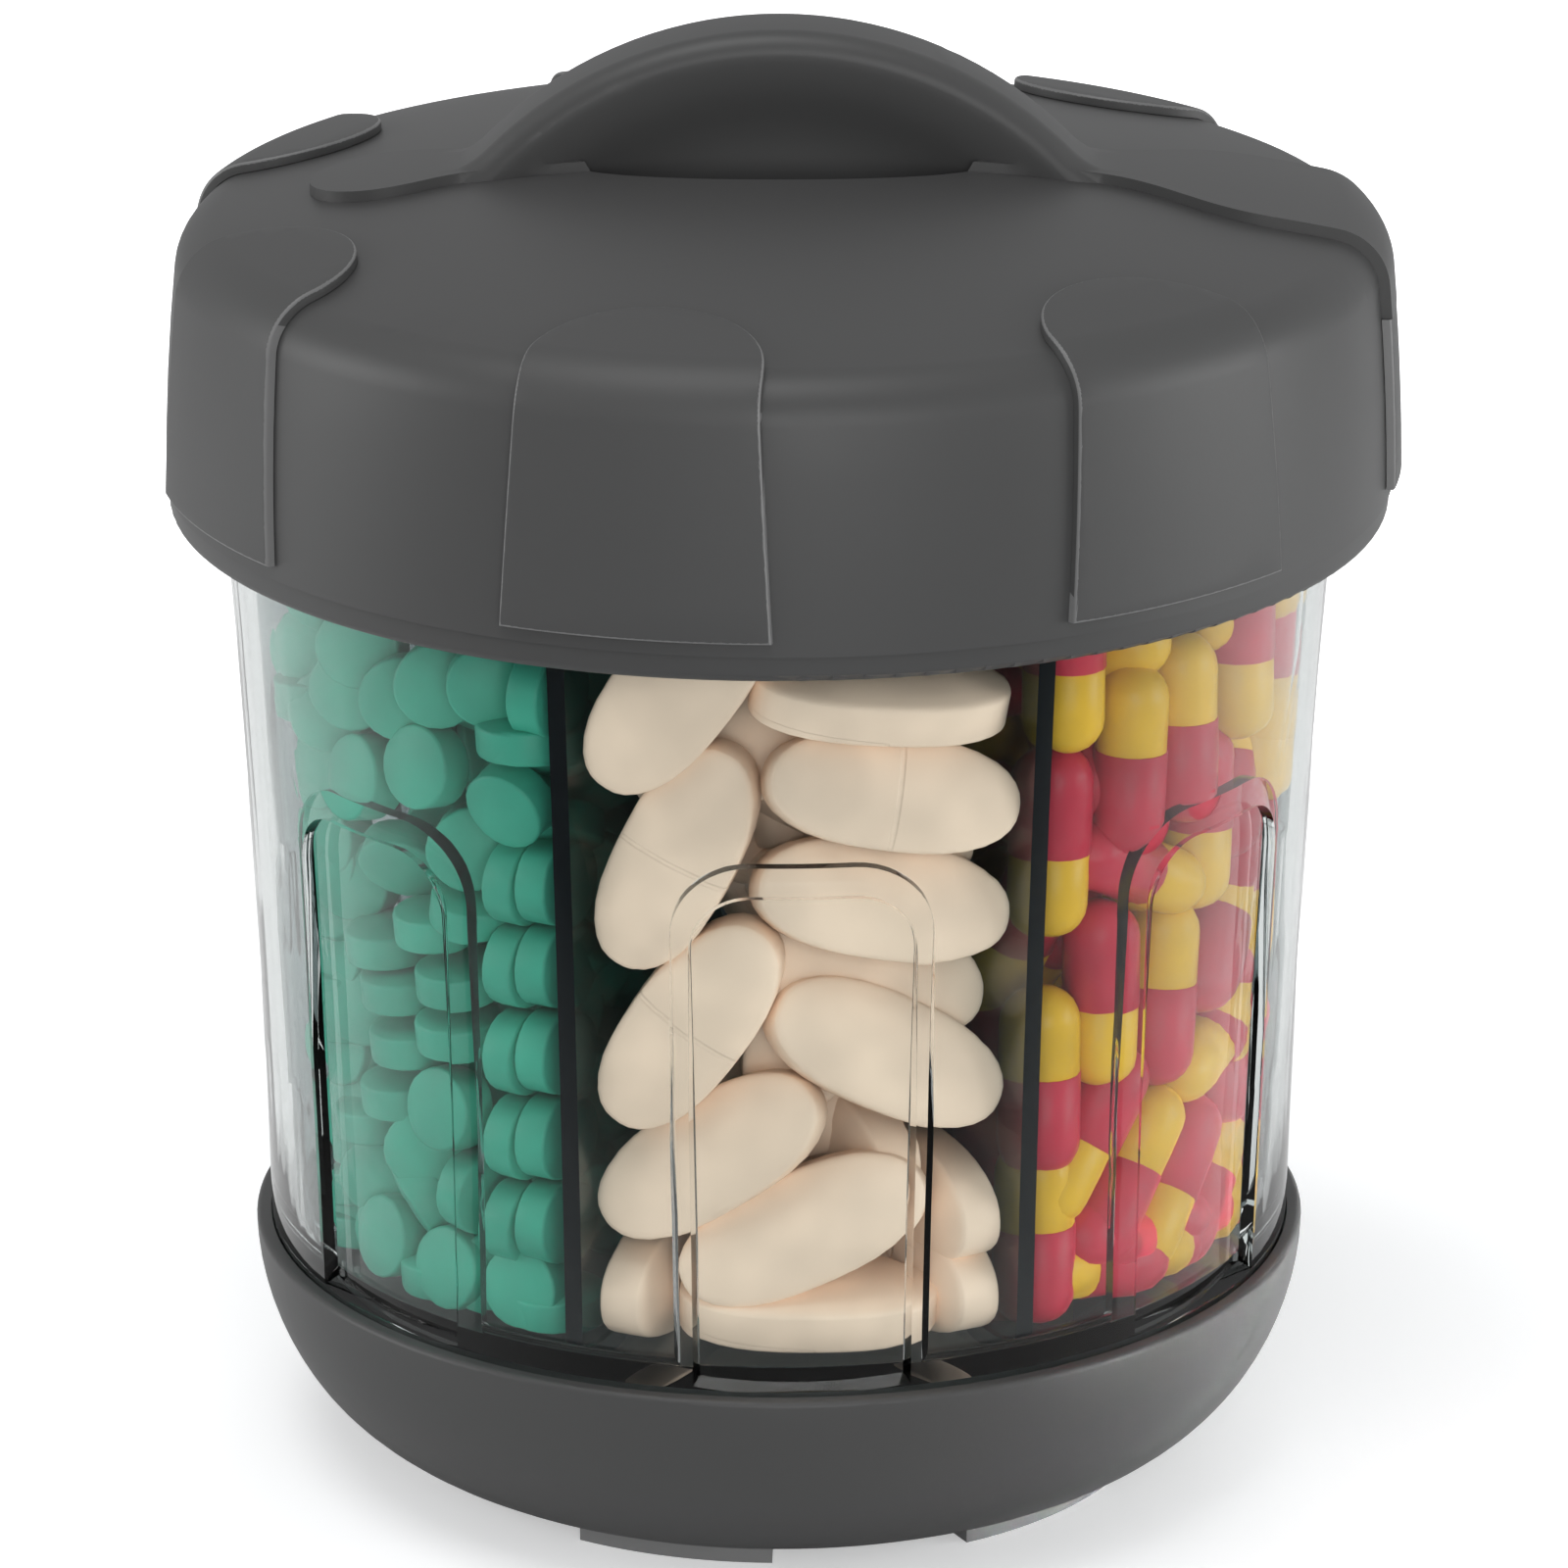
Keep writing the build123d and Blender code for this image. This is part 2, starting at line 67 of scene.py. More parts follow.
# %% [markdown]
# Colours are easiest to choose as they look on a screen, but a renderer adds up light, which
# needs linear values. One function turns a hex colour into linear values. Another adds a
# shader node, sets its values and links what it is given, so a material reads like a recipe.

# %% Helpers for colours and nodes
def linear(hex_colour):
    """The linear values of a colour written as it looks on a screen."""
    parts = [int(hex_colour[i:i + 2], 16) / 255 for i in (1, 3, 5)]
    return [p / 12.92 if p <= 0.04045 else ((p + 0.055) / 1.055) ** 2.4 for p in parts] + [1.0]


def add(tree, kind, settings=(), **inputs):
    """A node with its settings. An input goes by its name, or as i0, i1 and so on by its place."""
    node = tree.nodes.new(kind)
    for key, value in dict(settings).items():
        setattr(node, key, value)
    for key, value in inputs.items():
        by_place = key[0] == "i" and key[1:].isdigit()
        socket = node.inputs[int(key[1:]) if by_place else key.replace("_", " ")]
        if isinstance(value, bpy.types.NodeSocket):
            tree.links.new(value, socket)
        else:
            socket.default_value = value
    return node


def new_material(name):
    material = bpy.data.materials.new(name)
    material.use_nodes = True
    material.node_tree.nodes.clear()
    return material, material.node_tree


SMOOTH = {"interpolation_type": "SMOOTHSTEP"}
LARGER = {"operation": "MAXIMUM"}
WHITE = (1.0, 1.0, 1.0, 1.0)
PAPER = linear("#f4f5f6")
print("paper in linear light:", [round(v, 3) for v in PAPER])

# %% [markdown]
# The camera stands where the photograph was taken: about 0.69 m in front and 0.3 m up, looking
# down by 19 degrees. A long lens keeps the sides of the canister nearly parallel. The object
# stands a few pixels left of the middle, which a very small sideways shift gives.

# %% Camera at the photograph's place
# The photograph's width and the focal length are in pixels, the camera's place in millimetres.
PHOTO = 1600
FOCAL = 8281.2
SENSOR_MM = 36
VIEW_DISTANCE = 693.2
VIEW_HEIGHT = 303.2
VIEW_DOWN = 0.335747
AXIS_PIXEL = 795
camera_data = bpy.data.cameras.new("photo_camera")
camera = bpy.data.objects.new("photo_camera", camera_data)
bpy.context.scene.collection.objects.link(camera)
camera.location = (0, -VIEW_DISTANCE * MM, VIEW_HEIGHT * MM)
camera.rotation_euler = (pi / 2 - VIEW_DOWN, 0, 0)
camera_data.sensor_width = SENSOR_MM
camera_data.lens = FOCAL / PHOTO * SENSOR_MM
camera_data.shift_x = (PHOTO / 2 - AXIS_PIXEL) / PHOTO
bpy.context.scene.camera = camera
print("lens in mm:", round(camera_data.lens, 1))

# %% [markdown]
# The light is a plain studio. The world gives an even pale light from all around. The camera
# sees it as white paper, and so does what shows through clear plastic, a little darker where
# that looks out at the front. A mirror finish sees a bright sweep behind the object and a
# darker room in front of it, as in the photograph, so no bright reflection veils the clear wall.

# %% World
scene = bpy.context.scene
scene.view_settings.view_transform = "Standard"
world = bpy.data.worlds.new("studio")
scene.world = world
world.use_nodes = True
tree = world.node_tree
tree.nodes.clear()
path = add(tree, "ShaderNodeLightPath")
place = add(tree, "ShaderNodeTexCoord").outputs["Generated"]
depth = add(tree, "ShaderNodeSeparateXYZ", Vector=place).outputs["Y"]
sweep = add(tree, "ShaderNodeMapRange", SMOOTH, Value=depth, From_Min=-0.75, From_Max=0.35,
            To_Min=0.2, To_Max=0.55)
behind = add(tree, "ShaderNodeMapRange", SMOOTH, Value=depth, From_Min=0.1, From_Max=0.85,
             To_Min=0.75, To_Max=1.0)
direct = path.outputs["Is Camera Ray"]
shown = add(tree, "ShaderNodeMath", LARGER, i0=direct, i1=behind.outputs[0])
seen = add(tree, "ShaderNodeMath", LARGER, i0=direct, i1=path.outputs["Is Transmission Ray"])
lighting = add(tree, "ShaderNodeBackground", Color=PAPER, Strength=0.46)
mirrored = add(tree, "ShaderNodeBackground", Color=PAPER, Strength=sweep.outputs[0])
backdrop = add(tree, "ShaderNodeBackground", Color=WHITE, Strength=shown.outputs[0])
soft = add(tree, "ShaderNodeMixShader", Fac=path.outputs["Is Glossy Ray"],
           i1=lighting.outputs[0], i2=mirrored.outputs[0])
full = add(tree, "ShaderNodeMixShader", Fac=seen.outputs[0],
           i1=soft.outputs[0], i2=backdrop.outputs[0])
add(tree, "ShaderNodeOutputWorld", Surface=full.outputs[0])
print("world nodes:", len(tree.nodes))

# %% [markdown]
# The key lamp hangs above, a little to the left. One stands at each side, a large one shines
# softly from the front, and one behind lights the back without showing in any gloss. A small
# narrow lamp at the right, half below the level of the table, gives the base its bright right
# flank. No lamp is seen through the clear plastic.

# %% Lamps
def lamp(name, place, target, size, power, spread=180):
    """A round soft lamp that shines on its target. Its spread is the beam's angle in degrees."""
    data = bpy.data.lights.new(name, "AREA")
    data.shape = "DISK"
    data.size = size
    data.energy = power
    data.spread = radians(spread)
    made = bpy.data.objects.new(name, data)
    scene.collection.objects.link(made)
    made.location = place
    made.visible_transmission = False
    made.rotation_euler = (Vector(target) - Vector(place)).to_track_quat("-Z", "Y").to_euler()
    return made


lamp("key_above", (-0.12, -0.2, 0.8), (0, 0, 0.08), size=0.5, power=2.1)
back_lamp = lamp("behind_above", (0.2, 0.7, 0.45), (0, 0, 0.07), size=0.5, power=0.7)
back_lamp.visible_glossy = False
lamp("side_left", (-0.7, -0.05, 0.22), (0, 0, 0.07), size=0.4, power=1.55)
lamp("side_right", (0.68, -0.12, 0.1), (0, 0, 0.05), size=0.4, power=2.4)
lamp("low_right", (0.5, -0.2, -0.008), (0.042, -0.01, 0.004), size=0.05, power=0.05, spread=7)
lamp("front_soft", (0.1, -0.95, 0.25), (0, 0, 0.06), size=0.6, power=2.9)

# %% [markdown]
# The floor is matt pale paper that keeps the object's shadow. For the camera it also glows, more
# with the distance from the object, until it is as white as the background. A gloss sees the
# paper in front as dark: the clear wall mirrors just that part towards the camera, and the
# wall in the photograph is free of such a veil.

# %% Floor
FLOOR_HALF = 3.0
corners = [(-FLOOR_HALF, -FLOOR_HALF, 0), (FLOOR_HALF, -FLOOR_HALF, 0),
           (FLOOR_HALF, FLOOR_HALF, 0), (-FLOOR_HALF, FLOOR_HALF, 0)]
floor_mesh = bpy.data.meshes.new("floor")
floor_mesh.from_pydata(corners, [], [(0, 1, 2, 3)])
floor = bpy.data.objects.new("floor", floor_mesh)
scene.collection.objects.link(floor)
material, tree = new_material("matt_paper_floor")
path = add(tree, "ShaderNodeLightPath")
paper = add(tree, "ShaderNodeBsdfDiffuse", Color=PAPER)
spot = add(tree, "ShaderNodeTexCoord").outputs["Object"]
away = add(tree, "ShaderNodeVectorMath", {"operation": "LENGTH"}, i0=spot).outputs["Value"]
lift = add(tree, "ShaderNodeMapRange", Value=away, From_Min=0.07, From_Max=0.3,
           To_Min=0.38, To_Max=0.9)
white = add(tree, "ShaderNodeEmission", Color=WHITE, Strength=lift.outputs[0])
glow = add(tree, "ShaderNodeAddShader", i0=paper.outputs[0], i1=white.outputs[0])
depth = add(tree, "ShaderNodeSeparateXYZ", Vector=spot).outputs["Y"]
near = add(tree, "ShaderNodeMapRange", Value=depth, From_Min=-0.14, From_Max=0.03,
           To_Min=0.05, To_Max=1.0)
dim = add(tree, "ShaderNodeBsdfDiffuse", Color=near.outputs[0])
mirrored = add(tree, "ShaderNodeMixShader", Fac=path.outputs["Is Glossy Ray"],
               i1=paper.outputs[0], i2=dim.outputs[0])
both = add(tree, "ShaderNodeMixShader", Fac=path.outputs["Is Camera Ray"],
           i1=mirrored.outputs[0], i2=glow.outputs[0])
add(tree, "ShaderNodeOutputMaterial", Surface=both.outputs[0])
floor_mesh.materials.append(material)
print("floor nodes:", len(tree.nodes))

# %% [markdown]
# The lid and the base are moulded ABS with a fine spark texture. That gives the eye a satin
# grey with a broad, soft highlight, and a grain too fine to count. The grain is about 0.4 mm
# here, coarser than the real one, so that it shows at all. The soft pads are a little more
# matt; a painted highlight, a paler grey on their rounded edges, makes their outline a thin
# light line. The feet are a drier rubber, the hidden seal is milky silicone and the screws
# are zinc.

# %% Moulded plastics, rubber and steel
GLOSS_DRIFT = 0.03
CLOUD_MM = 30


def moulded(name, colour, roughness, grain_mm, grain_height_mm, specular=0.5):
    """A moulded finish with a fine grain, whose gloss drifts a little over the surface."""
    material, tree = new_material(name)
    place = add(tree, "ShaderNodeTexCoord").outputs["Object"]
    grain = add(tree, "ShaderNodeTexNoise", Vector=place, Scale=1 / (grain_mm * MM), Detail=2.0,
                Roughness=0.6)
    cloud = add(tree, "ShaderNodeTexNoise", Vector=place, Scale=1 / (CLOUD_MM * MM), Detail=2.0)
    rough = add(tree, "ShaderNodeMapRange", Value=cloud.outputs["Fac"],
                To_Min=roughness - GLOSS_DRIFT, To_Max=roughness + GLOSS_DRIFT)
    bump = add(tree, "ShaderNodeBump", Strength=0.35, Distance=grain_height_mm * MM,
               Height=grain.outputs["Fac"])
    plastic = add(tree, "ShaderNodeBsdfPrincipled", Base_Color=linear(colour),
                  Roughness=rough.outputs[0], Normal=bump.outputs[0])
    plastic.inputs["Specular IOR Level"].default_value = specular
    add(tree, "ShaderNodeOutputMaterial", Surface=plastic.outputs[0])
    return material


satin_abs = moulded("satin_moulded_abs", "#444444", 0.45, 0.4, 0.012, specular=0.4)
soft_touch = moulded("soft_touch_elastomer", "#454545", 0.5, 0.35, 0.015, specular=0.4)
# The pads' rounded edges get a painted highlight: a paler grey in place of the light that their edges
# catch.
painted_edge_highlight = moulded("soft_touch_rubbed_edge", "#6c6c6c", 0.45, 0.35, 0.015)
foot_rubber = moulded("moulded_foot_rubber", "#7e7e7e", 0.6, 0.35, 0.02)
silicone = moulded("translucent_silicone", "#c9cac6", 0.45, 0.5, 0.01)
screw_steel, tree = new_material("zinc_plated_steel")
zinc = add(tree, "ShaderNodeBsdfPrincipled", Base_Color=linear("#b9bbbd"), Metallic=1.0, Roughness=0.32)
add(tree, "ShaderNodeOutputMaterial", Surface=zinc.outputs[0])
print("finishes:", [m.name for m in (satin_abs, soft_touch, painted_edge_highlight, foot_rubber, silicone,
                                     screw_steel)])

# %% [markdown]
# The canister is clear styrene, so what it holds is seen sharp, under mirror lights. The
# dividers are smoked styrene, a dim grey-green seen through. Their outer edges show nearly
# black, since little light runs along a vane and out of its edge, and that is painted shade: an
# opaque near-black finish on those faces. Real clear plastic lets the light through to what it
# holds, which a path tracer only finds by luck. So for shadow rays and diffuse rays the surface
# is taken as a tinted gap.

# %% Clear plastics
STYRENE_IOR = 1.49


def clear(name, colour, gap_colour, roughness):
    """Glass-like plastic that lets shadow rays and diffuse rays straight through."""
    material, tree = new_material(name)
    path = add(tree, "ShaderNodeLightPath")
    glass = add(tree, "ShaderNodeBsdfPrincipled", Base_Color=linear(colour),
                Roughness=roughness, IOR=STYRENE_IOR)
    glass.inputs["Transmission Weight"].default_value = 1.0
    gap = add(tree, "ShaderNodeBsdfTransparent", Color=linear(gap_colour))
    passes = add(tree, "ShaderNodeMath", LARGER, i0=path.outputs["Is Shadow Ray"],
                 i1=path.outputs["Is Diffuse Ray"])
    lets = add(tree, "ShaderNodeMixShader", Fac=passes.outputs[0],
               i1=glass.outputs[0], i2=gap.outputs[0])
    add(tree, "ShaderNodeOutputMaterial", Surface=lets.outputs[0])
    return material


clear_styrene = clear("clear_styrene", "#eaefee", "#fbfdfc", 0.0)
smoked_styrene = clear("smoked_styrene", "#b4bec0", "#b4bec0", 0.05)
# The vanes' outer edges get painted shade: an opaque near-black finish in place of the little light that
# leaves a vane's edge.
vane_edge_painted_shade, tree = new_material("smoked_styrene_edge_painted_shade")
dark = add(tree, "ShaderNodeBsdfPrincipled", Base_Color=linear("#0d1216"), Roughness=0.3)
dark.inputs["Specular IOR Level"].default_value = 0.15
add(tree, "ShaderNodeOutputMaterial", Surface=dark.outputs[0])
print("clear plastics:", clear_styrene.name, smoked_styrene.name, vane_edge_painted_shade.name)

# %% [markdown]
# A measured node comes as loose triangles, each with a flat shade. A copy whose doubled points
# are merged can be shaded smooth, with its real corners kept sharp by angle. The copy stands in
# for the node and rides on the same body. The vanes' outer edges get a painted shade and the
# pads' rounded edges a painted highlight, each a finish of its own on the faces found by the
# way each face looks. The canister's copy is drawn in by a hair, because two faces in one
# plane, its own and the bowl's, would give specks.

# %% Smooth skins for the measured nodes
AIR_GAP = 0.02 * MM
MERGE_WITHIN = 0.002 * MM
CORNER_ANGLE = 32.0
HANDLE_CORNER_ANGLE = 48.0
OUTSIDE_HUB = 30 * MM
BLADE_EDGE_LEAST = 0.7
PAD_EDGE_LEAST, PAD_EDGE_MOST = 0.2, 0.96

lid_work = bmesh.new()
lid_work.from_mesh(NODES["lid_shell"].data)
lid_surface = BVHTree.FromBMesh(lid_work)
lid_work.free()


def on_blade_edge(face):
    """The outer edge of a vane faces away from the hub."""
    middle = face.calc_center_median()
    radial = Vector((middle.x, middle.y, 0)).normalized()
    return middle.xy.length > OUTSIDE_HUB and face.normal.dot(radial) > BLADE_EDGE_LEAST


def on_pad_edge(face):
    """A pad's rounded edge turns away from the lid's surface below it."""
    below = lid_surface.find_nearest(face.calc_center_median())[1]
    return PAD_EDGE_LEAST < face.normal.dot(below) < PAD_EDGE_MOST


def smooth_skin(node, material, angle=CORNER_ANGLE, painted_edge_finish=None, on_edge=None, shrink=0.0):
    """A smooth copy of a node in its finish, with a second finish on its edge faces that paints light
    there: a highlight on the pads, shade on the vanes.
    """
    source = NODES[node]
    mesh = source.data.copy()
    mesh.materials.clear()
    for finish in filter(None, (material, painted_edge_finish)):
        mesh.materials.append(finish)
    made = bpy.data.objects.new(node + "_skin", mesh)
    scene.collection.objects.link(made)
    work = bmesh.new()
    work.from_mesh(mesh)
    bmesh.ops.remove_doubles(work, verts=work.verts, dist=MERGE_WITHIN)
    for vert, normal in [(v, v.normal.copy()) for v in work.verts]:
        vert.co -= normal * shrink
    for edge in work.edges:
        edge.smooth = len(edge.link_faces) == 2 and edge.calc_face_angle(0) < radians(angle)
    for face in work.faces:
        face.smooth = True
        if painted_edge_finish and on_edge(face):
            face.material_index = 1
    work.to_mesh(mesh)
    work.free()
    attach(made, source["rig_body"])
    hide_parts(node)
    return made


for node in sorted(NODES):
    if node == "carry_handle":
        smooth_skin(node, satin_abs, angle=HANDLE_CORNER_ANGLE)
    elif node in ("base_bowl", "lid_shell", "lid_liner"):
        smooth_skin(node, satin_abs)
    elif node.startswith("grip_pad"):
        smooth_skin(node, soft_touch, painted_edge_finish=painted_edge_highlight, on_edge=on_pad_edge)
    elif node.startswith("foot_pad"):
        smooth_skin(node, foot_rubber)
    elif node.endswith("screws"):
        smooth_skin(node, screw_steel)
    elif node in ("lid_gasket", "seal_ring"):
        smooth_skin(node, silicone)
    elif node == "divider_insert":
        smooth_skin(node, smoked_styrene, painted_edge_finish=vane_edge_painted_shade, on_edge=on_blade_edge)
    elif node == "hub_cap":
        smooth_skin(node, smoked_styrene)
    elif node == "canister":
        smooth_skin(node, clear_styrene, shrink=AIR_GAP)

# %% [markdown]
# Three front compartments hold one kind of dose each: flat round tablets, oblong caplets and
# two-coloured capsules. A simulation could drop them in, but a pile seen through a clear wall
# is read dose by dose, so those at the wall are listed one by one, and loose ones behind them are
# laid out by rule with a fixed seed.
#
# A place in the picture names a line of sight. A dose goes where that line meets the wall, then
# moves in by the room it needs, so it is inside its compartment from every side. Lengths are in
# millimetres from here on, and become metres when a mesh is made.

# %% Lines of sight, and the room in a compartment
SIGHT_RIGHT = np.array((1.0, 0.0, 0.0))
SIGHT_UP = np.array((0.0, sin(VIEW_DOWN), cos(VIEW_DOWN)))
SIGHT_AHEAD = np.array((0.0, cos(VIEW_DOWN), -sin(VIEW_DOWN)))
EYE = np.array((0.0, -VIEW_DISTANCE, VIEW_HEIGHT))
UP = np.array((0.0, 0.0, 1.0))
DAY = 2 * pi / 7
FRONT_DAY = radians(2.5)
FLOOR_TOP = 22.9
FILL_TOP = 97.0
VANE_HALF = 0.8
HUB = 7.5
WALL = 1.9
WALL_FOOT_Z, WALL_RISE = 21.3, 82.7
WALL_FOOT_R, WALL_FLARE, WALL_SAG = 46.6, 4.0, 2.5
DENT = 1.3
DENT_HALF = 12.5
DENT_TOP = 71.0
TOUCH = 0.1
WALL_TOUCH = 0.2
FIRST_HEIGHT = 60.0
SIGHT_ROUNDS = 3
SETTLE_ROUNDS = 6


def wall_radius(z):
    """Inner radius of the flaring wall at a height, away from its dents."""
    share = (z - WALL_FOOT_Z) / WALL_RISE
    return WALL_FOOT_R + WALL_FLARE * share - WALL_SAG * share * (1 - share) - WALL


def outward(azimuth):
    """The way from the axis to the wall. Azimuth 0 faces the camera."""
    return np.array((sin(azimuth), -cos(azimuth), 0.0))


def along_wall(azimuth):
    """The level way along the wall, to the right for the camera."""
    return np.array((cos(azimuth), sin(azimuth), 0.0))


def unit(way):
    return way / np.linalg.norm(way)


def sight_to_wall(px, py, inset):
    """Where the line of sight through a pixel comes this near to the wall's inner face."""
    across, above = (px - AXIS_PIXEL) / FOCAL, (PHOTO / 2 - py) / FOCAL
    way = SIGHT_AHEAD + SIGHT_RIGHT * across + SIGHT_UP * above
    point = np.array((0.0, 0.0, FIRST_HEIGHT))
    for _ in range(SIGHT_ROUNDS):
        radius = wall_radius(point[2]) - inset
        a = way[0] ** 2 + way[1] ** 2
        b = EYE[0] * way[0] + EYE[1] * way[1]
        c = EYE[0] ** 2 + EYE[1] ** 2 - radius ** 2
        point = EYE + way * ((-b - sqrt(max(b * b - a * c, 0.0))) / a)
    return point


def settle(point, day, reach):
    """Keep a dose off the vanes, hub, wall and floor of its compartment."""
    middle = FRONT_DAY + day * DAY
    point = np.array(point, float)
    for _ in range(SETTLE_ROUNDS):
        for side in (-1, 1):
            inward = -side * along_wall(middle + side * DAY / 2)
            short = VANE_HALF + reach(inward) + TOUCH - float(point @ inward)
            point = point + inward * max(short, 0.0)
        radius = max(float(np.hypot(point[0], point[1])), TOUCH)
        away = np.array((point[0], point[1], 0.0)) / radius
        sideways = abs(float(point @ along_wall(middle)))
        at_dent = sideways < DENT_HALF + reach(along_wall(middle)) and point[2] < DENT_TOP
        dent = DENT if at_dent else 0.0
        most = wall_radius(point[2]) - dent - reach(away) - WALL_TOUCH
        least = min(HUB + reach(away) + WALL_TOUCH, most)
        point = point + away * (min(max(radius, least), most) - radius)
    high = reach(UP)
    point[2] = min(max(point[2], FLOOR_TOP + high + TOUCH), FILL_TOP - high)
    return point


print("wall radius at the floor and the fill:", [round(wall_radius(z), 1) for z in (FLOOR_TOP, FILL_TOP)])

# %% [markdown]
# A tablet is a low drum with slightly crowned faces, an oblong caplet is a pad with two round
# ends and crowned faces, and a capsule is two caps with one slipped over the other. Each is a
# stack of rings from pole to pole, kept to few faces because it repeats hundreds of times. Each
# point also carries its place along the dose, which the caplet's finish needs for its score
# line. The line is on one face alone, so the points of the other say that they are far from it.

# %% Shapes of the doses
TABLET_R, TABLET_HALF = 3.75, 1.85
CAPLET_HALF, CAPLET_R, CAPLET_THICK = 11.1, 5.1, 2.95
CAPSULE_HALF, CAPSULE_R = 8.7, 3.15
OBLONG_POWER, OBLONG_TAPER = 2.5, 0.1
UNSCORED = 50.0


def circle_outline(turn):
    return cos(turn), sin(turn)


def oblong_outline(turn):
    """A long oval with full ends, as a share of its half length and half width."""
    x, y = cos(turn), sin(turn)
    full = (abs(x) ** OBLONG_POWER + abs(y) ** OBLONG_POWER) ** (-1 / OBLONG_POWER)
    return x * full, y * full * (1 - OBLONG_TAPER * abs(x * full) ** 4)


def ring_stack(name, rings, sides, outline=circle_outline, half_length=1.0, half_width=1.0):
    """Rings are (share, height) pairs from the lower pole to the upper one."""
    points = []
    for share, z in rings:
        for k in range(sides):
            x, y = outline(2 * pi * (k + 0.5) / sides)
            points.append((x * share * half_length, y * share * half_width, z))
    faces = [tuple(range(sides))[::-1]]
    for ring in range(len(rings) - 1):
        for k in range(sides):
            n = (k + 1) % sides
            a, b = ring * sides, (ring + 1) * sides
            faces.append((a + k, a + n, b + n, b + k))
    top = (len(rings) - 1) * sides
    faces.append(tuple(range(top, top + sides)))
    mesh = bpy.data.meshes.new(name)
    mesh.from_pydata([(x * MM, y * MM, z * MM) for x, y, z in points], [], faces)
    mesh.polygons.foreach_set("use_smooth", [True] * len(mesh.polygons))
    along = [x if z > 0 else UNSCORED for x, y, z in points]
    mesh.attributes.new("along", "FLOAT", "POINT").data.foreach_set("value", along)
    return bpy.data.objects.new(name, mesh)


def both_ways(rings):
    """The given upper rings with their mirror image below."""
    return [(share, -z) for share, z in reversed(rings)] + rings


def capsule_end(name, radius, start, end):
    """One shell of a capsule, from its open rim to its round end."""
    rim = [(0.97, start), (1.0, start + 0.05)]
    dome = [(cos(a), end - radius + radius * sin(a)) for a in np.linspace(0, radians(86), 6)]
    return ring_stack(name, rim + dome, 18, half_length=radius, half_width=radius)


# Rings of the upper half: share of the outline, and height.
TABLET_RINGS = [(1.0, 1.2), (0.99, 1.36), (0.955, 1.46), (0.93, 1.5), (0.6, 1.74), (0.1, TABLET_HALF)]
CAPLET_RINGS = [(1.0, 1.55), (0.99, 1.75), (0.955, 1.95), (0.9, 2.12), (0.65, 2.6), (0.35, 2.85),
                (0.08, CAPLET_THICK)]
tablet = ring_stack("tablet", both_ways(TABLET_RINGS), 22, half_length=TABLET_R, half_width=TABLET_R)
caplet = ring_stack("caplet", both_ways(CAPLET_RINGS), 36, oblong_outline, CAPLET_HALF, CAPLET_R)
capsule_cap = capsule_end("capsule_cap", CAPSULE_R, -0.9, CAPSULE_HALF)
capsule_body = capsule_end("capsule_body", CAPSULE_R - 0.1, -0.4, CAPSULE_HALF)
for shape in (tablet, caplet, capsule_cap, capsule_body):
    print(shape.name, len(shape.data.polygons), "faces")

# %% [markdown]
# A spread of doses is one Geometry Nodes tree. It puts the shape on every given point, turned
# as the point's own attribute says and at most a hair smaller than its full size, then makes
# the instances real and gives them their finish.

# %% A tree that spreads one shape over points
LEAST_SIZE, MOST_SIZE = 0.985, 1.0
SIZE_SEED = 7


def spread_tree(name):
    """Points, a dose and its finish go in, and the doses come out as one real mesh."""
    tree = bpy.data.node_groups.new(name, "GeometryNodeTree")
    sockets = (("Points", "Geometry"), ("Dose", "Object"), ("Least size", "Float"),
               ("Most size", "Float"), ("Finish", "Material"))
    socket = {}
    for label, kind in sockets:
        socket[label] = tree.interface.new_socket(label, in_out="INPUT", socket_type="NodeSocket" + kind)
    socket["Least size"].default_value = LEAST_SIZE
    socket["Most size"].default_value = MOST_SIZE
    tree.interface.new_socket("Doses", in_out="OUTPUT", socket_type="NodeSocketGeometry")
    given = add(tree, "NodeGroupInput").outputs
    dose = add(tree, "GeometryNodeObjectInfo", Object=given["Dose"])
    turn = add(tree, "GeometryNodeInputNamedAttribute", {"data_type": "FLOAT_VECTOR"}, Name="turn")
    rotation = add(tree, "FunctionNodeEulerToRotation", Euler=turn.outputs["Attribute"])
    size = add(tree, "FunctionNodeRandomValue", {"data_type": "FLOAT"}, Seed=SIZE_SEED,
               i2=given["Least size"], i3=given["Most size"])
    placed = add(tree, "GeometryNodeInstanceOnPoints", Points=given["Points"],
                 Instance=dose.outputs["Geometry"], Rotation=rotation.outputs[0], Scale=size.outputs[1])
    real = add(tree, "GeometryNodeRealizeInstances", Geometry=placed.outputs[0])
    done = add(tree, "GeometryNodeSetMaterial", Geometry=real.outputs[0], Material=given["Finish"])
    tree.links.new(done.outputs[0], add(tree, "NodeGroupOutput").inputs[0])
    return tree


DOSE_TREE = spread_tree("doses_on_points")


